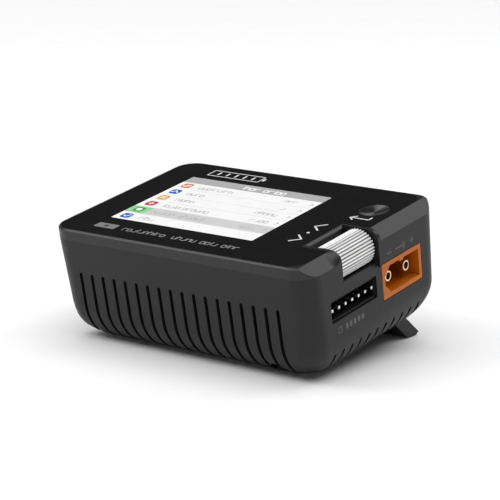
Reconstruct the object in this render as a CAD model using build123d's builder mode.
"""A pocket-size balance battery charger on its fold-out kickstand, in millimetres.

Every piece is drawn in the charger's own axes: X along the length towards the output side, Y from the
user's side to the back, Z up through the display, with the origin under the middle of the flat base.
At the end the whole charger leans back onto its kickstand, as it stands on a table.
"""

from math import cos, radians, sin, sqrt, tan
import os

from build123d import *

os.makedirs("parts", exist_ok=True)

# ---------------------------------------------------------------- driving dimensions
LENGTH = 72.6
DEPTH = 51.2
HEIGHT = 29.0
CORNER = 5.0  # radius of the upright corners
EDGE_BEVEL = 2.6  # bevel along the top of the output side
PARTING_Z = HEIGHT - EDGE_BEVEL  # where the cover meets the tub
DRAFT = 3.0  # degrees, on the front, back and input sides
BOTTOM_RADIUS = 10.5
INPUT_BOTTOM_RADIUS = 6.5  # the same edge under the input side
WALL = 1.8
CORNER_GROWTH = 0.08  # how much the upright corners open out as the bottom edge curves in

SLOT_WIDTH = 0.9
SLOT_PITCH = 3.3
LONG_SLOTS = 18
LONG_SLOT_TOP = 18.7
LONG_SLOT_CENTRE = -0.6
SHORT_SLOTS = 11
SHORT_SLOT_TOP = 6.6
SHORT_SLOT_CENTRE = -0.1

LENS_THICKNESS = 0.85
LENS_TAPE = 0.15
LENS_FLOOR_Z = HEIGHT - LENS_THICKNESS - LENS_TAPE
LENS_RIM = 0.75
RIM_BEVEL = 0.35
SCREEN = (40.8, 30.6)  # lit area of a 2.0 inch display
SCREEN_CENTRE = (-6.5, 0.6)

LEAN = 8.75  # degrees that the kickstand tips the charger forward
STAND_SPREAD = 57.6
STAND_PIVOT = (14.3, 2.7)  # Y and Z of the hinge pin
STAND_OPEN = 47.0  # degrees below the base that the open flap points
STAND_FACE = 2.7  # pin centre to the flap's outer face
STAND_INNER = 0.6  # pin centre to the flap's inner edge
STAND_TIP_RADIUS = 4.2
STAND_PIN_RADIUS = 0.8
PAD_FLAT = 0.15  # how much of the round tip is flattened where the pad meets the table

WHEEL_RADIUS = 4.15
WHEEL_AXIS = (31.4, 24.85)  # X and Z
WHEEL_ENDS = (-12.0, 0.9)  # Y
WHEEL_RIDGES = 34
KNURL_DEPTH = 0.34
NOTCH_Y = (-12.6, 1.4)
NOTCH_LIP_X = 27.2
NOTCH_RIM = 0.9
EAR_BLEND = 3.2  # length over which the notch's front end melts into the bevel
NOTCH_FLOOR_Z = 21.4

BUTTON_XY = (27.9, 12.6)
BUTTON_RADIUS = 3.7

PORT_Z = 16.5
OUTPUT_Y = 9.7
INPUT_Y = 9.3
POWER_PLUG = (15.6, 8.3)  # outside of the power socket's face
POWER_SOCKET_DEPTH = 15.5
CONTACT_PITCH = 7.2
CONTACT_RADIUS = 1.2
CONTACT_WALL = 0.35
CONTACT_SET_BACK = 1.4
BALANCE_Y = -9.2
BALANCE_PITCH = 2.5
BALANCE_PINS = 7
BALANCE_MOUTH = (17.4, 5.1)
BALANCE_Z = 16.65
USB_Y = -5.9
SIGNAL_Y = -14.9

BOARD_TOP_Z = 12.0
BOARD_THICKNESS = 1.6
BOARD_BOTTOM_Z = BOARD_TOP_Z - BOARD_THICKNESS
UI_BOARD_TOP_Z = 23.8
UI_BOARD_THICKNESS = 1.2
UI_BOARD_BOTTOM_Z = UI_BOARD_TOP_Z - UI_BOARD_THICKNESS

FAN_CENTRE = (-5.0, -6.8)
FAN_SIDE = 25.0
FAN_BOTTOM_Z = 5.2
FAN_THICKNESS = 7.0
FAN_HOLE_SPACING = 20.0

CASE_SCREWS = [(-31.0, -20.1), (-31.0, 20.1), (31.6, 20.1), (23.0, -20.4)]
CASE_BOSS_RADIUS = 3.0
COVER_POST_RADIUS = 2.3
HEAD_SEAT_Z = 8.2
BOARD_SCREWS = [(-18.4, 18.2), (15.0, 18.2), (14.0, -17.4), (-22.5, -18.4)]
UI_SCREWS = [(-31.6, -13.0), (-31.6, 13.0), (21.9, 14.6), (21.7, -13.4)]
FEET = [(-20.0, -7.9), (20.0, -7.9)]
FOOT_RADIUS = 3.5
FOOT_PROUD = 0.4
FOOT_RECESS = 0.9

# ---------------------------------------------------------------- worked-out places
floor_normal = (sin(radians(LEAN)), cos(radians(LEAN)))  # Y and Z of the table's upward normal


def height_above_pivot_line(y, z):
    """Height along the table's normal of a point of the charger."""
    return y * floor_normal[0] + z * floor_normal[1]


table_height = height_above_pivot_line(FEET[0][1] - FOOT_RADIUS, -FOOT_PROUD)
flap_down = sin(radians(LEAN - STAND_OPEN))  # table's normal along the open flap
flap_across = cos(radians(LEAN - STAND_OPEN))  # and across it
tip_centre_across = STAND_FACE + 0.83
tip_centre_along = (
    table_height
    + STAND_TIP_RADIUS
    - PAD_FLAT
    - height_above_pivot_line(*STAND_PIVOT)
    - tip_centre_across * flap_across
) / flap_down


# ---------------------------------------------------------------- housing shape
def curve_inset(z, wall, edge_radius=BOTTOM_RADIUS):
    """How far the rounded bottom edge stands in from the wall at height z, for a skin this deep."""
    radius = edge_radius - wall
    below = max(0.0, edge_radius - z)
    return radius - sqrt(max(0.0, radius**2 - below**2))


def housing_outline(z, wall):
    """Draws the tub's level outline at height z, or the outline of its room with a wall thickness."""
    curve = curve_inset(z, wall)
    input_curve = curve_inset(z, wall, INPUT_BOTTOM_RADIUS)
    draft = (PARTING_Z - z) * tan(radians(DRAFT))
    length = LENGTH - 2 * wall - curve - input_curve - draft
    depth = DEPTH - 2 * (wall + curve + draft)
    radius = max(CORNER - wall, 3.4) + CORNER_GROWTH * curve
    with BuildSketch(Plane.XY.offset(z)) as outline:
        with Locations(((draft + input_curve - curve) / 2, 0)):
            RectangleRounded(length, depth, radius)
    return outline.sketch


def bottom_heights(wall):
    """Heights of the sections through the rounded bottom edge, from the flat base upward."""
    radius = BOTTOM_RADIUS - wall
    return [BOTTOM_RADIUS - radius * sin(radians(a)) for a in (90, 80, 68, 54, 38, 20, 0)]


def housing_skin(wall):
    """Makes the tub's outside, or with a wall thickness the room inside it."""
    loft(sections=[housing_outline(z, wall) for z in bottom_heights(wall)])
    loft(sections=[housing_outline(z, wall) for z in (BOTTOM_RADIUS, PARTING_Z)], ruled=True)


def box_between(low, high, mode=Mode.ADD):
    """A box from its lowest corner to its highest corner."""
    size = [b - a for a, b in zip(low, high)]
    with Locations(tuple((a + b) / 2 for a, b in zip(low, high))):
        Box(*size, mode=mode)


def rod(x, y, low, high, radius, mode=Mode.ADD):
    """An upright cylinder between two heights."""
    with Locations((x, y, low)):
        Cylinder(radius, high - low, align=(Align.CENTER, Align.CENTER, Align.MIN), mode=mode)


# The hinge pocket's section, front to back: the flap folds into it, and its sloped rear wall is the
# stop that the open flap leans on.
stop_clearance = 0.1
stop_line = (
    STAND_PIVOT[0] * sin(radians(STAND_OPEN))
    + STAND_PIVOT[1] * cos(radians(STAND_OPEN))
    + STAND_FACE
    + stop_clearance
)


def stop_y(z):
    """Y of the stop wall at height z."""
    return (stop_line - z * cos(radians(STAND_OPEN))) / sin(radians(STAND_OPEN))


POCKET_FRONT_Y = 0.8
POCKET_ROOF_Z = 3.8
BARREL_ROOF_Z = 4.5
BARREL_BAY_Y = 12.2
POCKET_HALF = STAND_SPREAD / 2 + 0.4
POCKET_SKIN = 1.1

with BuildPart() as room:
    housing_skin(WALL)

with BuildPart() as inside_blocks:
    # Casing over the hinge pocket
    box_between(
        (-POCKET_HALF - 1.4, POCKET_FRONT_Y - 1.2, 0),
        (POCKET_HALF + 1.4, 20.5, POCKET_ROOF_Z + POCKET_SKIN),
    )
    box_between(
        (-POCKET_HALF - 1.4, BARREL_BAY_Y - 1.2, 0),
        (POCKET_HALF + 1.4, 20.5, BARREL_ROOF_Z + POCKET_SKIN),
    )
    # Screw tubes up to the main board, fan posts and board posts
    for x, y in CASE_SCREWS:
        rod(x, y, 0, BOARD_BOTTOM_Z, CASE_BOSS_RADIUS)
    for x, y in BOARD_SCREWS:
        rod(x, y, 0, BOARD_BOTTOM_Z, 1.9)
    with Locations((FAN_CENTRE[0], FAN_CENTRE[1], 0)):
        with GridLocations(FAN_HOLE_SPACING, FAN_HOLE_SPACING, 2, 2):
            Cylinder(1.9, FAN_BOTTOM_Z, align=(Align.CENTER, Align.CENTER, Align.MIN))
    add(room.part, mode=Mode.INTERSECT)

SOCKET_GAP = 0.15

with BuildPart() as tub:
    housing_skin(0)
    add(room.part, mode=Mode.SUBTRACT)
    # Cooling slots that run down the long walls and round under the edge
    long_slot_height = LONG_SLOT_TOP + 1
    for side in (1, -1):
        with BuildSketch(Plane.XZ.offset(side * 14.2)):
            with Locations((LONG_SLOT_CENTRE, LONG_SLOT_TOP - long_slot_height / 2)):
                with GridLocations(SLOT_PITCH, 1, LONG_SLOTS, 1):
                    RectangleRounded(SLOT_WIDTH, long_slot_height, 0.44)
        extrude(amount=side * 12, mode=Mode.SUBTRACT)
    # Short slots under the two end walls
    short_slot_height = SHORT_SLOT_TOP + 1
    for side, slot_end_x in ((1, 28.6), (-1, -30.6)):
        with BuildSketch(Plane.YZ.offset(slot_end_x)):
            with Locations((SHORT_SLOT_CENTRE, SHORT_SLOT_TOP - short_slot_height / 2)):
                with GridLocations(SLOT_PITCH, 1, SHORT_SLOTS, 1):
                    RectangleRounded(SLOT_WIDTH, short_slot_height, 0.44)
        extrude(amount=side * 10, mode=Mode.SUBTRACT)
    # Mouths of the sockets in the output side
    with BuildSketch(Plane.YZ.offset(30)):
        with Locations((OUTPUT_Y, PORT_Z)):
            Rectangle(POWER_PLUG[0] + 2 * SOCKET_GAP, POWER_PLUG[1] + 2 * SOCKET_GAP)
        with Locations((BALANCE_Y, BALANCE_Z)):
            RectangleRounded(BALANCE_MOUTH[0], BALANCE_MOUTH[1], 0.4)
    extrude(amount=10, mode=Mode.SUBTRACT)
    # Mouths of the sockets in the input side
    with BuildSketch(Plane.YZ.offset(-30)):
        with Locations((INPUT_Y, PORT_Z)):
            Rectangle(POWER_PLUG[0] + 2 * SOCKET_GAP, POWER_PLUG[1] + 2 * SOCKET_GAP)
        with Locations((USB_Y, 15.1)):
            RectangleRounded(13.4, 6.1, 0.5)
        with Locations((SIGNAL_Y, 16.4)):
            RectangleRounded(3.4, 8.6, 0.4)
    extrude(amount=-10, mode=Mode.SUBTRACT)
    # Notch for the scroll wheel, with a bevelled sill
    box_between((30, NOTCH_Y[0], NOTCH_FLOOR_Z), (40, NOTCH_Y[1], 30), mode=Mode.SUBTRACT)
    with BuildSketch(Plane.XZ.offset(-NOTCH_Y[1])):
        with BuildLine():
            Polyline(
                (LENGTH / 2 - 1.1, NOTCH_FLOOR_Z + 0.1),
                (LENGTH / 2 + 0.4, NOTCH_FLOOR_Z + 0.1),
                (LENGTH / 2 + 0.4, NOTCH_FLOOR_Z - 1.4),
                close=True,
            )
        make_face()
    extrude(amount=NOTCH_Y[1] - NOTCH_Y[0], mode=Mode.SUBTRACT)
    add(inside_blocks.part)
    # Hinge pocket and its pin holes
    with BuildSketch(Plane.YZ.offset(-POCKET_HALF)):
        with BuildLine():
            Polyline(
                (POCKET_FRONT_Y, -1),
                (POCKET_FRONT_Y, POCKET_ROOF_Z),
                (BARREL_BAY_Y, POCKET_ROOF_Z),
                (BARREL_BAY_Y, BARREL_ROOF_Z),
                (stop_y(BARREL_ROOF_Z), BARREL_ROOF_Z),
                (stop_y(-1), -1),
                close=True,
            )
        make_face()
    extrude(amount=2 * POCKET_HALF, mode=Mode.SUBTRACT)
    with BuildSketch(Plane.YZ.offset(-POCKET_HALF - 1.0)):
        with Locations(STAND_PIVOT):
            Circle(STAND_PIN_RADIUS + 0.02)
    extrude(amount=2 * POCKET_HALF + 2.0, mode=Mode.SUBTRACT)
    # Screw holes: clearance for the shank, and a well for the head
    for x, y in CASE_SCREWS:
        rod(x, y, -1, 12, 1.25, mode=Mode.SUBTRACT)
        rod(x, y, -1, HEAD_SEAT_Z, 2.05, mode=Mode.SUBTRACT)
    for x, y in BOARD_SCREWS:
        rod(x, y, 4.4, BOARD_BOTTOM_Z + 1, 0.82, mode=Mode.SUBTRACT)
    with Locations((FAN_CENTRE[0], FAN_CENTRE[1], FAN_BOTTOM_Z - 0.9)):
        with GridLocations(FAN_HOLE_SPACING, FAN_HOLE_SPACING, 2, 2):
            Cylinder(
                0.82,
                3,
                align=(Align.CENTER, Align.CENTER, Align.MIN),
                mode=Mode.SUBTRACT,
            )
    for x, y in FEET:
        rod(x, y, -1, FOOT_RECESS, FOOT_RADIUS + 0.1, mode=Mode.SUBTRACT)

# ---------------------------------------------------------------- cover
DECK_UNDERSIDE_Z = PARTING_Z
WINDOW = (47.4, 35.0)

with BuildPart() as cover:
    with BuildSketch(Plane.XY.offset(PARTING_Z)):
        RectangleRounded(LENGTH, DEPTH, CORNER)
    extrude(amount=EDGE_BEVEL)
    chamfer(cover.faces().sort_by(Axis.Z)[-1].edges(), RIM_BEVEL)
    # Bevel along the output side
    with BuildSketch(Plane.XZ.offset(-DEPTH)):
        with BuildLine():
            Polyline(
                (LENGTH / 2 - EDGE_BEVEL, HEIGHT),
                (LENGTH / 2 + 1, HEIGHT + 1 - 1e-3),
                (LENGTH / 2 + 1, PARTING_Z),
                (LENGTH / 2, PARTING_Z),
                close=True,
            )
        make_face()
    extrude(amount=2 * DEPTH, mode=Mode.SUBTRACT)
    # Shallow bed for the glass
    with BuildSketch(Plane.XY.offset(LENS_FLOOR_Z)):
        with Locations((-(EDGE_BEVEL + 0.3 - LENS_RIM) / 2, 0)):
            RectangleRounded(
                LENGTH - LENS_RIM - EDGE_BEVEL - 0.3,
                DEPTH - 2 * LENS_RIM,
                CORNER - LENS_RIM,
            )
    extrude(amount=2, mode=Mode.SUBTRACT)
    # Tongue that locates inside the tub wall
    with BuildSketch(Plane.XY.offset(PARTING_Z - 1.6)):
        RectangleRounded(LENGTH - 2 * WALL - 0.8, DEPTH - 2 * WALL - 0.8, CORNER - WALL)
        RectangleRounded(LENGTH - 2 * WALL - 3, DEPTH - 2 * WALL - 3, 2.2, mode=Mode.SUBTRACT)
    extrude(amount=1.6)
    # Posts for the case screws, and short posts for the control board
    for x, y in CASE_SCREWS:
        rod(x, y, BOARD_TOP_Z, DECK_UNDERSIDE_Z, COVER_POST_RADIUS)
    for x, y in UI_SCREWS:
        rod(x, y, UI_BOARD_TOP_Z, DECK_UNDERSIDE_Z, 1.6)
    for x, y in CASE_SCREWS:
        rod(x, y, BOARD_TOP_Z - 1, DECK_UNDERSIDE_Z - 5, 0.82, mode=Mode.SUBTRACT)
    for x, y in UI_SCREWS:
        rod(x, y, UI_BOARD_TOP_Z - 1, DECK_UNDERSIDE_Z, 0.62, mode=Mode.SUBTRACT)
    # Window for the display, well for the button, notch for the wheel
    with Locations((SCREEN_CENTRE[0], SCREEN_CENTRE[1], PARTING_Z)):
        Box(WINDOW[0], WINDOW[1], 10, mode=Mode.SUBTRACT)
    rod(BUTTON_XY[0], BUTTON_XY[1], 20, 40, BUTTON_RADIUS + 0.12, mode=Mode.SUBTRACT)
    box_between((NOTCH_LIP_X, NOTCH_Y[0], 20), (40, NOTCH_Y[1], 40), mode=Mode.SUBTRACT)
    # Quarter-round end of the notch in front, melting into the bevel
    with BuildSketch(Plane.XZ.offset(-NOTCH_Y[0])):
        with BuildLine():
            CenterArc((LENGTH / 2 - EDGE_BEVEL, PARTING_Z), EDGE_BEVEL, 0, 90)
            Line((LENGTH / 2 - EDGE_BEVEL, HEIGHT), (LENGTH / 2 - EDGE_BEVEL, PARTING_Z))
            Line((LENGTH / 2 - EDGE_BEVEL, PARTING_Z), (LENGTH / 2, PARTING_Z))
        make_face()
    with BuildSketch(Plane.XZ.offset(EAR_BLEND - NOTCH_Y[0])):
        with BuildLine():
            Line((LENGTH / 2, PARTING_Z), (LENGTH / 2 - EDGE_BEVEL, HEIGHT))
            Line((LENGTH / 2 - EDGE_BEVEL, HEIGHT), (LENGTH / 2 - EDGE_BEVEL, PARTING_Z))
            Line((LENGTH / 2 - EDGE_BEVEL, PARTING_Z), (LENGTH / 2, PARTING_Z))
        make_face()
    loft()
    # Quarter-round rim of the notch behind
    with BuildSketch(Plane.XZ.offset(-NOTCH_Y[1] - NOTCH_RIM)):
        with BuildLine():
            CenterArc((LENGTH / 2 - EDGE_BEVEL, PARTING_Z), EDGE_BEVEL, 0, 90)
            Line((LENGTH / 2 - EDGE_BEVEL, HEIGHT), (LENGTH / 2 - EDGE_BEVEL, PARTING_Z))
            Line((LENGTH / 2 - EDGE_BEVEL, PARTING_Z), (LENGTH / 2, PARTING_Z))
        make_face()
    extrude(amount=NOTCH_RIM)
    # Raised rim round the notch, up to the glass level
    box_between(
        (NOTCH_LIP_X - NOTCH_RIM, NOTCH_Y[0] - NOTCH_RIM, LENS_FLOOR_Z),
        (LENGTH / 2 - EDGE_BEVEL, NOTCH_Y[1] + NOTCH_RIM, HEIGHT),
    )
    box_between((NOTCH_LIP_X, NOTCH_Y[0], 20), (40, NOTCH_Y[1], 40), mode=Mode.SUBTRACT)
    chamfer(
        cover.edges()
        .filter_by(Axis.Y)
        .filter_by_position(Axis.Z, HEIGHT - 0.01, HEIGHT + 0.01)
        .filter_by_position(Axis.X, NOTCH_LIP_X - 0.01, NOTCH_LIP_X + 0.01),
        0.5,
    )

# ---------------------------------------------------------------- glass and display
GLASS_GAP = 0.08
with BuildPart() as front_glass:
    with BuildSketch(Plane.XY.offset(HEIGHT - LENS_THICKNESS)):
        with Locations((-(EDGE_BEVEL + 0.3 - LENS_RIM) / 2, 0)):
            RectangleRounded(
                LENGTH - LENS_RIM - EDGE_BEVEL - 0.3 - 2 * GLASS_GAP,
                DEPTH - 2 * LENS_RIM - 2 * GLASS_GAP,
                CORNER - LENS_RIM,
            )
        with Locations((NOTCH_LIP_X + 6.4 - NOTCH_RIM, sum(NOTCH_Y) / 2)):
            Rectangle(13, NOTCH_Y[1] - NOTCH_Y[0] + 2 * NOTCH_RIM + 0.2, mode=Mode.SUBTRACT)
        with Locations(BUTTON_XY):
            Circle(BUTTON_RADIUS + 0.15, mode=Mode.SUBTRACT)
    extrude(amount=LENS_THICKNESS)

with BuildPart() as glass_tape:
    with BuildSketch(Plane.XY.offset(LENS_FLOOR_Z)):
        with Locations((-(EDGE_BEVEL + 0.3 - LENS_RIM) / 2, 0)):
            RectangleRounded(
                LENGTH - LENS_RIM - EDGE_BEVEL - 1.3,
                DEPTH - 2 * LENS_RIM - 1,
                CORNER - LENS_RIM - 0.5,
            )
        with Locations(SCREEN_CENTRE):
            Rectangle(WINDOW[0] + 0.4, WINDOW[1] + 0.4, mode=Mode.SUBTRACT)
        with Locations((NOTCH_LIP_X + 6 - NOTCH_RIM, sum(NOTCH_Y) / 2)):
            Rectangle(13, NOTCH_Y[1] - NOTCH_Y[0] + 2 * NOTCH_RIM + 0.6, mode=Mode.SUBTRACT)
        with Locations(BUTTON_XY):
            Circle(BUTTON_RADIUS + 0.6, mode=Mode.SUBTRACT)
    extrude(amount=LENS_TAPE)

with BuildPart() as display_cell:
    box_between(
        (SCREEN_CENTRE[0] - 23.1, SCREEN_CENTRE[1] - 17.0, 26.2),
        (SCREEN_CENTRE[0] + 23.1, SCREEN_CENTRE[1] + 17.0, HEIGHT - LENS_THICKNESS),
    )

with BuildPart() as display_tray:
    box_between(
        (SCREEN_CENTRE[0] - 23.4, SCREEN_CENTRE[1] - 17.3, 24.9),
        (SCREEN_CENTRE[0] + 23.4, SCREEN_CENTRE[1] + 17.3, 27.4),
    )
    box_between(
        (SCREEN_CENTRE[0] - 23.15, SCREEN_CENTRE[1] - 17.05, 26.2),
        (SCREEN_CENTRE[0] + 23.15, SCREEN_CENTRE[1] + 17.05, 28),
        mode=Mode.SUBTRACT,
    )

with BuildPart() as display_foam:
    with BuildSketch(Plane.XY.offset(UI_BOARD_TOP_Z)):
        with Locations(SCREEN_CENTRE):
            Rectangle(44, 31)
            Rectangle(36, 23, mode=Mode.SUBTRACT)
    extrude(amount=24.9 - UI_BOARD_TOP_Z)

# ---------------------------------------------------------------- boards
with BuildPart() as control_board:
    with BuildSketch(Plane.XY.offset(UI_BOARD_BOTTOM_Z)):
        with Locations((-0.4, 0)):
            RectangleRounded(66.4, 43.8, 2.5)
        for x, y in CASE_SCREWS:
            with Locations((x, y)):
                Circle(COVER_POST_RADIUS + 0.4, mode=Mode.SUBTRACT)
        for x, y in UI_SCREWS:
            with Locations((x, y)):
                Circle(0.9, mode=Mode.SUBTRACT)
        with Locations((31.2, sum(NOTCH_Y) / 2)):
            Rectangle(11, 20.6, mode=Mode.SUBTRACT)
    extrude(amount=UI_BOARD_THICKNESS)

with BuildPart() as main_board:
    with BuildSketch(Plane.XY.offset(BOARD_BOTTOM_Z)):
        RectangleRounded(67.2, 43.8, 2.5)
        for x, y in CASE_SCREWS:
            with Locations((x, y)):
                Circle(1.3, mode=Mode.SUBTRACT)
        for x, y in BOARD_SCREWS:
            with Locations((x, y)):
                Circle(1.15, mode=Mode.SUBTRACT)
        with Locations(FAN_CENTRE):
            RectangleRounded(FAN_SIDE + 0.8, FAN_SIDE + 0.8, 2, mode=Mode.SUBTRACT)
    extrude(amount=BOARD_THICKNESS)

# ---------------------------------------------------------------- exit button and its switch
BUTTON_TRAVEL = 0.35
SWITCH_TOP_Z = UI_BOARD_TOP_Z + 1.6
with BuildPart() as exit_button:
    rod(BUTTON_XY[0], BUTTON_XY[1], 25.9, HEIGHT - 0.05, BUTTON_RADIUS)
    rod(BUTTON_XY[0], BUTTON_XY[1], 25.9, DECK_UNDERSIDE_Z - 0.05, BUTTON_RADIUS + 0.7)
    rod(BUTTON_XY[0], BUTTON_XY[1], SWITCH_TOP_Z, 26, 1.2)
    with Locations((BUTTON_XY[0], BUTTON_XY[1], HEIGHT + 13.2)):
        Sphere(13.65, mode=Mode.SUBTRACT)

with BuildPart() as exit_switch:
    box_between(
        (BUTTON_XY[0] - 2.2, BUTTON_XY[1] - 2.2, UI_BOARD_TOP_Z),
        (BUTTON_XY[0] + 2.2, BUTTON_XY[1] + 2.2, UI_BOARD_TOP_Z + 0.9),
    )
    rod(BUTTON_XY[0], BUTTON_XY[1], UI_BOARD_TOP_Z, SWITCH_TOP_Z - BUTTON_TRAVEL - 0.02, 1.4)

# ---------------------------------------------------------------- scroll wheel
WHEEL_TRAVEL = 0.4
SHAFT_RADIUS = 0.9
WHEEL_LENGTH = WHEEL_ENDS[1] - WHEEL_ENDS[0]
wheel_mid_y = sum(WHEEL_ENDS) / 2
axle_plane = Plane(
    origin=(WHEEL_AXIS[0], wheel_mid_y, WHEEL_AXIS[1]), x_dir=(1, 0, 0), z_dir=(0, -1, 0)
)
with BuildPart() as scroll_wheel:
    with BuildSketch(axle_plane):
        Circle(WHEEL_RADIUS)
        with PolarLocations(WHEEL_RADIUS, WHEEL_RIDGES):
            RegularPolygon(KNURL_DEPTH, 4, rotation=0, mode=Mode.SUBTRACT)
        Circle(SHAFT_RADIUS, mode=Mode.SUBTRACT)
    extrude(amount=WHEEL_LENGTH / 2, both=True)

with BuildPart() as wheel_axle:
    with BuildSketch(axle_plane):
        Circle(SHAFT_RADIUS)
    extrude(amount=WHEEL_LENGTH / 2 + 2.4, both=True)

ARM_INNER = WHEEL_LENGTH / 2 + 0.5  # from the wheel's middle
ARM_THICKNESS = 1.3
ARM_X = (29.9, 32.8)
ARM_TOP_Z = 26.2
CARRIER_FLOOR_Z = 19.65
CARRIER_FLOOR = 0.8
arm_front_y = wheel_mid_y - ARM_INNER
arm_back_y = wheel_mid_y + ARM_INNER
SWITCH_POST_Y = (-21.4, -18.8)
with BuildPart() as wheel_carrier:
    box_between(
        (ARM_X[0], arm_front_y - ARM_THICKNESS, CARRIER_FLOOR_Z),
        (ARM_X[1], arm_front_y, ARM_TOP_Z),
    )
    box_between(
        (ARM_X[0], arm_back_y, CARRIER_FLOOR_Z + 1.6),
        (ARM_X[1], arm_back_y + ARM_THICKNESS, ARM_TOP_Z),
    )
    box_between((ARM_X[0], arm_back_y, CARRIER_FLOOR_Z), (ARM_X[1], arm_back_y + 0.4, ARM_TOP_Z))
    box_between(
        (ARM_X[0], SWITCH_POST_Y[0] + 0.3, CARRIER_FLOOR_Z),
        (ARM_X[1], arm_back_y, CARRIER_FLOOR_Z + CARRIER_FLOOR),
    )
    with BuildSketch(axle_plane):
        Circle(SHAFT_RADIUS + 0.05)
    extrude(amount=WHEEL_LENGTH / 2 + 4, both=True, mode=Mode.SUBTRACT)

ENCODER_LENGTH = 1.9
with BuildPart() as wheel_encoder:
    encoder_back_y = arm_front_y - ARM_THICKNESS
    box_between(
        (ARM_X[0] - 0.6, encoder_back_y - ENCODER_LENGTH, 21.4),
        (ARM_X[1], encoder_back_y, ARM_TOP_Z),
    )
    with BuildSketch(axle_plane):
        Circle(SHAFT_RADIUS + 0.05)
    extrude(amount=WHEEL_LENGTH / 2 + 2.6, both=True, mode=Mode.SUBTRACT)

SWITCH_POST_TOP_Z = 17.6
with BuildPart() as switch_post:
    box_between((29.6, SWITCH_POST_Y[0], BOARD_TOP_Z), (33.4, SWITCH_POST_Y[1], SWITCH_POST_TOP_Z))

with BuildPart() as wheel_switch:
    box_between(
        (29.8, SWITCH_POST_Y[0] + 0.2, SWITCH_POST_TOP_Z),
        (33.2, SWITCH_POST_Y[1] - 0.2, SWITCH_POST_TOP_Z + 0.9),
    )
    rod(31.5, -20.1, SWITCH_POST_TOP_Z, CARRIER_FLOOR_Z - WHEEL_TRAVEL - 0.02, 0.9)

# ---------------------------------------------------------------- power sockets
SOCKET_WALL = 1.0
SOCKET_KEY = 2.1  # bevel on the keyed corners
CONTACT_LENGTH = 13.0


def power_socket(face_x, y, inward):
    """A keyed two-pole socket whose open face stands at face_x; inward is the way in along X."""
    with BuildSketch(Plane.YZ.offset(face_x)) as outside:
        with Locations((y, PORT_Z)):
            Rectangle(*POWER_PLUG)
    extrude(outside.sketch, amount=inward * POWER_SOCKET_DEPTH)
    with BuildSketch(Plane.YZ.offset(face_x)) as inside:
        with Locations((y, PORT_Z)):
            Rectangle(POWER_PLUG[0] - 2 * SOCKET_WALL, POWER_PLUG[1] - 2 * SOCKET_WALL)
        chamfer(inside.vertices().group_by(Axis.X)[0], SOCKET_KEY)
        with Locations((y, PORT_Z + POWER_PLUG[1] / 2 - SOCKET_WALL)):
            Rectangle(1.4, 0.9, mode=Mode.SUBTRACT)
    extrude(inside.sketch, amount=inward * 9, mode=Mode.SUBTRACT)
    with BuildSketch(Plane.YZ.offset(face_x)) as bores:
        with Locations((y, PORT_Z)):
            with GridLocations(CONTACT_PITCH, 1, 2, 1):
                Circle(CONTACT_RADIUS)
    extrude(
        bores.sketch,
        amount=inward * (CONTACT_SET_BACK + CONTACT_LENGTH),
        mode=Mode.SUBTRACT,
    )


def power_contacts(face_x, y, inward):
    """Two hollow bullet contacts with a crossed slit and a leg down into the board."""
    start = face_x + inward * CONTACT_SET_BACK
    with BuildSketch(Plane.YZ.offset(start)) as barrels:
        with Locations((y, PORT_Z)):
            with GridLocations(CONTACT_PITCH, 1, 2, 1):
                Circle(CONTACT_RADIUS)
    extrude(barrels.sketch, amount=inward * CONTACT_LENGTH)
    with BuildSketch(Plane.YZ.offset(start)) as hollows:
        with Locations((y, PORT_Z)):
            with GridLocations(CONTACT_PITCH, 1, 2, 1):
                Circle(CONTACT_RADIUS - CONTACT_WALL)
    extrude(hollows.sketch, amount=inward * 7, mode=Mode.SUBTRACT)


LEG_X = LENGTH / 2 - POWER_SOCKET_DEPTH + 0.9  # where the contact legs go down
with BuildPart() as output_socket:
    power_socket(LENGTH / 2, OUTPUT_Y, -1)
    with Locations((LEG_X, OUTPUT_Y, PORT_Z)):
        with GridLocations(1, CONTACT_PITCH, 1, 2):
            Box(
                1.8,
                1.8,
                10,
                align=(Align.CENTER, Align.CENTER, Align.MAX),
                mode=Mode.SUBTRACT,
            )

with BuildPart() as output_contacts:
    power_contacts(LENGTH / 2, OUTPUT_Y, -1)
    with Locations((LEG_X + 0.75, OUTPUT_Y, BOARD_TOP_Z)):
        with GridLocations(1, CONTACT_PITCH, 1, 2):
            Box(0.9, 1.6, PORT_Z - BOARD_TOP_Z, align=(Align.MAX, Align.CENTER, Align.MIN))

input_face_x = -LENGTH / 2 + (PARTING_Z - PORT_Z - POWER_PLUG[1] / 2) * tan(radians(DRAFT))
input_leg_x = input_face_x + POWER_SOCKET_DEPTH - 0.9
with BuildPart() as input_socket:
    power_socket(input_face_x, INPUT_Y, 1)
    with Locations((input_leg_x, INPUT_Y, PORT_Z)):
        with GridLocations(1, CONTACT_PITCH, 1, 2):
            Box(
                1.8,
                1.8,
                10,
                align=(Align.CENTER, Align.CENTER, Align.MAX),
                mode=Mode.SUBTRACT,
            )

with BuildPart() as input_contacts:
    power_contacts(input_face_x, INPUT_Y, 1)
    with Locations((input_leg_x - 0.75, INPUT_Y, BOARD_TOP_Z)):
        with GridLocations(1, CONTACT_PITCH, 1, 2):
            Box(0.9, 1.6, PORT_Z - BOARD_TOP_Z, align=(Align.MIN, Align.CENTER, Align.MIN))

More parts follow.
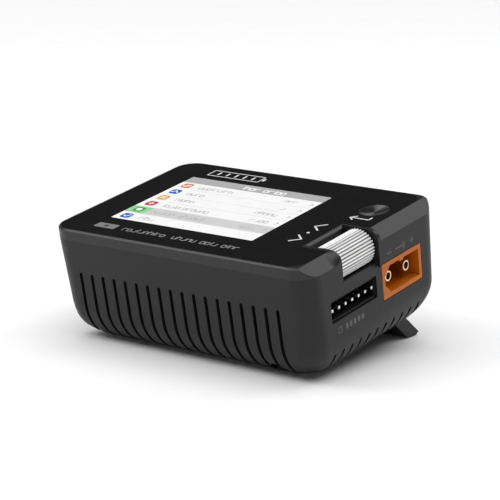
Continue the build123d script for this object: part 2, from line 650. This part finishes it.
# ---------------------------------------------------------------- balance header
HEADER_WALL = 0.5
HEADER_FACE_X = LENGTH / 2 - 0.5
HEADER_BACK_X = 26.6
HEADER_BASE = 2.0
PIN_SIDE = 0.64
with BuildPart() as balance_header:
    header_half = BALANCE_MOUTH[0] / 2 - 0.1
    header_low_z = BALANCE_Z - BALANCE_MOUTH[1] / 2 + 0.1
    header_high_z = BALANCE_Z + BALANCE_MOUTH[1] / 2 - 0.1
    box_between(
        (HEADER_BACK_X, BALANCE_Y - header_half, header_low_z),
        (HEADER_FACE_X, BALANCE_Y + header_half, header_high_z),
    )
    box_between(
        (HEADER_BACK_X, BALANCE_Y - header_half, BOARD_TOP_Z),
        (34.3, BALANCE_Y + header_half, header_low_z),
    )
    box_between(
        (
            HEADER_BACK_X + HEADER_BASE,
            BALANCE_Y - header_half + HEADER_WALL,
            header_low_z + HEADER_WALL,
        ),
        (40, BALANCE_Y + header_half - HEADER_WALL, header_high_z - HEADER_WALL),
        mode=Mode.SUBTRACT,
    )
    with BuildSketch(Plane.YZ.offset(20)):
        with Locations((BALANCE_Y, BALANCE_Z)):
            with GridLocations(BALANCE_PITCH, 1, BALANCE_PINS, 1):
                Rectangle(PIN_SIDE, PIN_SIDE)
    extrude(amount=10, mode=Mode.SUBTRACT)

with BuildPart() as balance_pins:
    for step in range(BALANCE_PINS):
        pin_y = BALANCE_Y + (step - BALANCE_PINS // 2) * BALANCE_PITCH
        with BuildSketch(Plane.XZ.offset(-pin_y)):
            with BuildLine():
                Polyline(
                    (LENGTH / 2 - 0.6, BALANCE_Z + PIN_SIDE / 2),
                    (HEADER_BACK_X - 1.4, BALANCE_Z + PIN_SIDE / 2),
                    (HEADER_BACK_X - 1.4, BOARD_TOP_Z),
                    (HEADER_BACK_X - 1.4 + PIN_SIDE, BOARD_TOP_Z),
                    (HEADER_BACK_X - 1.4 + PIN_SIDE, BALANCE_Z - PIN_SIDE / 2),
                    (LENGTH / 2 - 0.6, BALANCE_Z - PIN_SIDE / 2),
                    close=True,
                )
            make_face()
        extrude(amount=PIN_SIDE / 2, both=True)

# ---------------------------------------------------------------- USB port and signal header
USB_BOTTOM_Z = BOARD_TOP_Z
USB_HIGH = 5.9
USB_WIDE = 13.1
USB_DEEP = 13.0
USB_SKIN = 0.4
usb_face_x = input_face_x + 0.1
with BuildPart() as usb_shell:
    box_between(
        (usb_face_x, USB_Y - USB_WIDE / 2, USB_BOTTOM_Z + 0.15),
        (usb_face_x + USB_DEEP, USB_Y + USB_WIDE / 2, USB_BOTTOM_Z + 0.15 + USB_HIGH),
    )
    box_between(
        (usb_face_x - 1, USB_Y - USB_WIDE / 2 + USB_SKIN, USB_BOTTOM_Z + 0.15 + USB_SKIN),
        (
            usb_face_x + USB_DEEP - USB_SKIN,
            USB_Y + USB_WIDE / 2 - USB_SKIN,
            USB_BOTTOM_Z + 0.15 + USB_HIGH - USB_SKIN,
        ),
        mode=Mode.SUBTRACT,
    )
    for y in (USB_Y - 4.4, USB_Y + 4.4):
        box_between(
            (usb_face_x + 6, y - 0.7, BOARD_TOP_Z),
            (usb_face_x + 8, y + 0.7, BOARD_TOP_Z + 0.3),
        )

with BuildPart() as usb_tongue:
    box_between(
        (usb_face_x + USB_DEEP - 4.4, USB_Y - 5.9, USB_BOTTOM_Z + 0.55),
        (usb_face_x + USB_DEEP - 0.4, USB_Y + 5.9, USB_BOTTOM_Z + 5.5),
    )
    box_between(
        (usb_face_x + 1.2, USB_Y - 5.6, USB_BOTTOM_Z + 3.4),
        (usb_face_x + USB_DEEP - 4, USB_Y + 5.6, USB_BOTTOM_Z + 5.2),
    )

SIGNAL_Z = 16.4
SIGNAL_PITCH = 2.54
with BuildPart() as signal_header:
    with Locations((input_face_x + 4.4, SIGNAL_Y, SIGNAL_Z)):
        Box(2.6, 2.6, 3 * SIGNAL_PITCH)
    box_between(
        (input_face_x + 3.1, SIGNAL_Y - 1.3, BOARD_TOP_Z),
        (input_face_x + 5.7, SIGNAL_Y + 1.3, SIGNAL_Z - SIGNAL_PITCH),
    )
    with BuildSketch(Plane.YZ.offset(-40)):
        with Locations((SIGNAL_Y, SIGNAL_Z)):
            with GridLocations(1, SIGNAL_PITCH, 1, 3):
                Rectangle(PIN_SIDE, PIN_SIDE)
    extrude(amount=30, mode=Mode.SUBTRACT)

with BuildPart() as signal_pins:
    with BuildSketch(Plane.YZ.offset(input_face_x + 0.3)):
        with Locations((SIGNAL_Y, SIGNAL_Z)):
            with GridLocations(1, SIGNAL_PITCH, 1, 3):
                Rectangle(PIN_SIDE, PIN_SIDE)
    extrude(amount=6.6)

# ---------------------------------------------------------------- cooling
fan_mid = (FAN_CENTRE[0], FAN_CENTRE[1], FAN_BOTTOM_Z)
FAN_BORE = 11.8
HUB_RADIUS = 6.0
FAN_BASE = 1.0
BLADES = 7
with BuildPart() as fan_frame:
    with BuildSketch(Plane.XY.offset(FAN_BOTTOM_Z)):
        with Locations(FAN_CENTRE):
            RectangleRounded(FAN_SIDE, FAN_SIDE, 1.6)
            Circle(FAN_BORE, mode=Mode.SUBTRACT)
            with GridLocations(FAN_HOLE_SPACING, FAN_HOLE_SPACING, 2, 2):
                Circle(1.2, mode=Mode.SUBTRACT)
    extrude(amount=FAN_THICKNESS)
    with BuildSketch(Plane.XY.offset(FAN_BOTTOM_Z)):
        with Locations(FAN_CENTRE):
            Circle(HUB_RADIUS)
            Rectangle(2 * FAN_BORE + 0.4, 1.8)
            Rectangle(1.8, 2 * FAN_BORE + 0.4)
    extrude(amount=FAN_BASE)
    with Locations(fan_mid):
        Cylinder(0.8, 4.0, align=(Align.CENTER, Align.CENTER, Align.MIN))

with BuildPart() as fan_rotor:
    with Locations((fan_mid[0], fan_mid[1], FAN_BOTTOM_Z + FAN_BASE + 0.5)):
        Cylinder(HUB_RADIUS, 4.9, align=(Align.CENTER, Align.CENTER, Align.MIN))
        Cylinder(
            0.85,
            3,
            align=(Align.CENTER, Align.CENTER, Align.MIN),
            mode=Mode.SUBTRACT,
        )
        with PolarLocations(HUB_RADIUS - 0.4, BLADES):
            with Locations(Location((0, 0, 2.45), (38, 0, 0))):
                Box(5.4, 0.5, 5.6, align=(Align.MIN, Align.CENTER, Align.CENTER))

HEAT_SINK_X = (-17.3, 7.3)
FIN_PITCH = 2.46
with BuildPart() as heat_sink:
    box_between((HEAT_SINK_X[0], -19.2, 19.8), (HEAT_SINK_X[1], 13.6, 21.3))
    with BuildSketch(Plane.XY.offset(12.8)):
        with Locations((sum(HEAT_SINK_X) / 2, -6.8)):
            with GridLocations(FIN_PITCH, 1, 10, 1):
                Rectangle(0.8, 24.6)
    extrude(amount=7.2)
    box_between((HEAT_SINK_X[0], 7.4, 13.2), (HEAT_SINK_X[1], 13.6, 20))

with BuildPart() as power_transistors:
    with BuildSketch(Plane.XY.offset(BOARD_TOP_Z)):
        with Locations((-5, 10.4)):
            with GridLocations(6.2, 1, 4, 1):
                Rectangle(5.0, 6.0)
    extrude(amount=1.2)

with BuildPart() as inductors:
    with Locations((13.6, -8.6, BOARD_TOP_Z), (13.6, 2.2, BOARD_TOP_Z)):
        Box(10, 10, 5.4, align=(Align.CENTER, Align.CENTER, Align.MIN))
    chamfer(inductors.edges().filter_by(Axis.Z), 1.2)

with BuildPart() as capacitors:
    with Locations((10.8, 11.6, BOARD_TOP_Z), (17.3, 11.6, BOARD_TOP_Z)):
        Cylinder(2.9, 8.0, align=(Align.CENTER, Align.CENTER, Align.MIN))
    chamfer(capacitors.edges().filter_by(GeomType.CIRCLE), 0.35)

with BuildPart() as controller_chip:
    with Locations((16.0, 4.0, UI_BOARD_BOTTOM_Z)):
        Box(7, 7, 1.0, align=(Align.CENTER, Align.CENTER, Align.MAX))

with BuildPart() as buzzer:
    with Locations((22.2, -7.0, BOARD_TOP_Z)):
        Cylinder(2.6, 3.0, align=(Align.CENTER, Align.CENTER, Align.MIN))
        Cylinder(0.5, 4.0, align=(Align.CENTER, Align.CENTER, Align.MIN), mode=Mode.SUBTRACT)

with BuildPart() as board_link:
    with Locations((-19.9, -6.0, BOARD_TOP_Z)):
        Box(
            2.4,
            11,
            UI_BOARD_BOTTOM_Z - BOARD_TOP_Z,
            align=(Align.CENTER, Align.CENTER, Align.MIN),
        )
    box_between((-21.2, -11.6, 18.4), (-18.6, -0.4, 19.6))

# ---------------------------------------------------------------- screws and feet
with BuildPart() as case_screws:
    for x, y in CASE_SCREWS:
        rod(x, y, HEAD_SEAT_Z, 19.0, 0.8)
        rod(x, y, HEAD_SEAT_Z - 1.4, HEAD_SEAT_Z, 1.85)
        rod(x, y, HEAD_SEAT_Z - 2, HEAD_SEAT_Z - 0.6, 0.7, mode=Mode.SUBTRACT)

with BuildPart() as board_screws:
    for x, y in BOARD_SCREWS:
        rod(x, y, 5.4, BOARD_TOP_Z, 0.8)
        rod(x, y, BOARD_TOP_Z, BOARD_TOP_Z + 1.2, 1.7)
        rod(x, y, BOARD_TOP_Z + 0.5, BOARD_TOP_Z + 2, 0.6, mode=Mode.SUBTRACT)

with BuildPart() as control_board_screws:
    for x, y in UI_SCREWS:
        rod(x, y, UI_BOARD_BOTTOM_Z, 26.2, 0.6)
        rod(x, y, UI_BOARD_BOTTOM_Z - 1.0, UI_BOARD_BOTTOM_Z, 1.5)

with BuildPart() as fan_screws:
    with Locations(fan_mid):
        with GridLocations(FAN_HOLE_SPACING, FAN_HOLE_SPACING, 2, 2):
            with Locations((0, 0, -0.8)):
                Cylinder(0.8, FAN_THICKNESS + 0.8, align=(Align.CENTER, Align.CENTER, Align.MIN))
            with Locations((0, 0, FAN_THICKNESS)):
                Cylinder(1.7, 0.5, align=(Align.CENTER, Align.CENTER, Align.MIN))

with BuildPart() as rubber_feet:
    for x, y in FEET:
        rod(x, y, -FOOT_PROUD, FOOT_RECESS, FOOT_RADIUS)

# ---------------------------------------------------------------- kickstand
# Drawn in the flap's own axes on a YZ plane: along the flap from the pin, and across it.
flap_plane = Plane(
    origin=(0, STAND_PIVOT[0], STAND_PIVOT[1]),
    x_dir=(0, cos(radians(STAND_OPEN)), -sin(radians(STAND_OPEN))),
    z_dir=(1, 0, 0),
)
ARM_WIDTH = 3.5
BARREL_RADIUS = 1.6
PAD_START = tip_centre_along + 0.7
PAD_DEPTH = 2.0  # from the flap's inner edge
PAD_HALF = 23.0




def tip_reach(across):
    """How far along the flap its round tip reaches at this place across it."""
    return tip_centre_along + sqrt(STAND_TIP_RADIUS**2 - (tip_centre_across - across) ** 2)


def flap_section():
    """The flap's full section, with a round tip that rolls onto the table."""
    with BuildSketch(flap_plane) as section:
        Circle(BARREL_RADIUS)
        with BuildLine():
            Polyline(
                (tip_reach(STAND_FACE), STAND_FACE),
                (0.9, STAND_FACE),
                (-0.6, BARREL_RADIUS - 0.2),
                (0, -STAND_INNER),
                (tip_reach(-STAND_INNER), -STAND_INNER),
            )
            ThreePointArc(
                (tip_reach(-STAND_INNER), -STAND_INNER),
                (tip_reach(1.0), 1.0),
                (tip_reach(STAND_FACE), STAND_FACE),
            )
        make_face()
    return section.sketch


def under_table(height):
    """Takes away what lies lower than this height above the table."""
    level = table_height + height
    place = Location((0, level * floor_normal[0], level * floor_normal[1]), (-LEAN, 0, 0))
    with Locations(place):
        Box(90, 90, 20, align=(Align.CENTER, Align.CENTER, Align.MAX), mode=Mode.SUBTRACT)


def flap_box(along, across, half_x, mode):
    """A box in the flap's own axes, spread evenly to both sides."""
    with BuildSketch(flap_plane) as block:
        with Locations(((along[0] + along[1]) / 2, (across[0] + across[1]) / 2)):
            Rectangle(along[1] - along[0], across[1] - across[0])
    extrude(block.sketch, amount=half_x, both=True, mode=mode)


PAD_ACROSS = (-5, PAD_DEPTH - STAND_INNER)
with BuildPart() as kickstand:
    extrude(flap_section(), amount=STAND_SPREAD / 2, both=True)
    flap_box((-4, tip_centre_along - 1.2), (-5, 1.1), STAND_SPREAD / 2 - ARM_WIDTH, Mode.SUBTRACT)
    flap_box((-4, 1.6), (-5, 5), STAND_SPREAD / 2 - ARM_WIDTH, Mode.SUBTRACT)
    flap_box((PAD_START, 20), PAD_ACROSS, PAD_HALF, Mode.SUBTRACT)
    with BuildSketch(Plane.YZ.offset(-STAND_SPREAD)) as bore:
        with Locations(STAND_PIVOT):
            Circle(STAND_PIN_RADIUS + 0.06)
    extrude(bore.sketch, amount=2 * STAND_SPREAD, mode=Mode.SUBTRACT)
    under_table(PAD_FLAT)

with BuildPart() as stand_pad:
    extrude(flap_section(), amount=PAD_HALF, both=True)
    flap_box((-5, PAD_START), (-9, 9), STAND_SPREAD, Mode.SUBTRACT)
    flap_box((-5, 20), (PAD_ACROSS[1], 9), STAND_SPREAD, Mode.SUBTRACT)
    under_table(0)

with BuildPart() as stand_pins:
    for side in (1, -1):
        with BuildSketch(Plane.YZ.offset(side * (POCKET_HALF + 0.95))) as pin_end:
            with Locations(STAND_PIVOT):
                Circle(STAND_PIN_RADIUS)
        extrude(pin_end.sketch, amount=-side * 3.4)

# ---------------------------------------------------------------- standing on the table
pieces = {
    "tub_housing": tub,
    "top_cover": cover,
    "front_glass": front_glass,
    "glass_tape": glass_tape,
    "display_cell": display_cell,
    "display_tray": display_tray,
    "display_foam": display_foam,
    "control_board": control_board,
    "main_board": main_board,
    "exit_button": exit_button,
    "exit_switch": exit_switch,
    "scroll_wheel": scroll_wheel,
    "wheel_axle": wheel_axle,
    "wheel_carrier": wheel_carrier,
    "wheel_encoder": wheel_encoder,
    "switch_post": switch_post,
    "wheel_switch": wheel_switch,
    "output_socket": output_socket,
    "output_contacts": output_contacts,
    "input_socket": input_socket,
    "input_contacts": input_contacts,
    "balance_header": balance_header,
    "balance_pins": balance_pins,
    "usb_shell": usb_shell,
    "usb_tongue": usb_tongue,
    "signal_header": signal_header,
    "signal_pins": signal_pins,
    "fan_frame": fan_frame,
    "fan_rotor": fan_rotor,
    "heat_sink": heat_sink,
    "power_transistors": power_transistors,
    "inductors": inductors,
    "capacitors": capacitors,
    "controller_chip": controller_chip,
    "buzzer": buzzer,
    "board_link": board_link,
    "case_screws": case_screws,
    "board_screws": board_screws,
    "control_board_screws": control_board_screws,
    "fan_screws": fan_screws,
    "rubber_feet": rubber_feet,
    "kickstand": kickstand,
    "stand_pad": stand_pad,
    "stand_pins": stand_pins,
}

lean = Rot(LEAN, 0, 0)
outer = [lean * piece.part for piece in (tub, cover, kickstand, stand_pad)]
front = min(piece.bounding_box().min.Y for piece in outer)
back = max(piece.bounding_box().max.Y for piece in outer)
posture = Pos(0, -(front + back) / 2, -table_height) * lean

for name, piece in pieces.items():
    standing = posture * piece.part
    standing.label = name
    export_step(standing, f"parts/{name}.step")
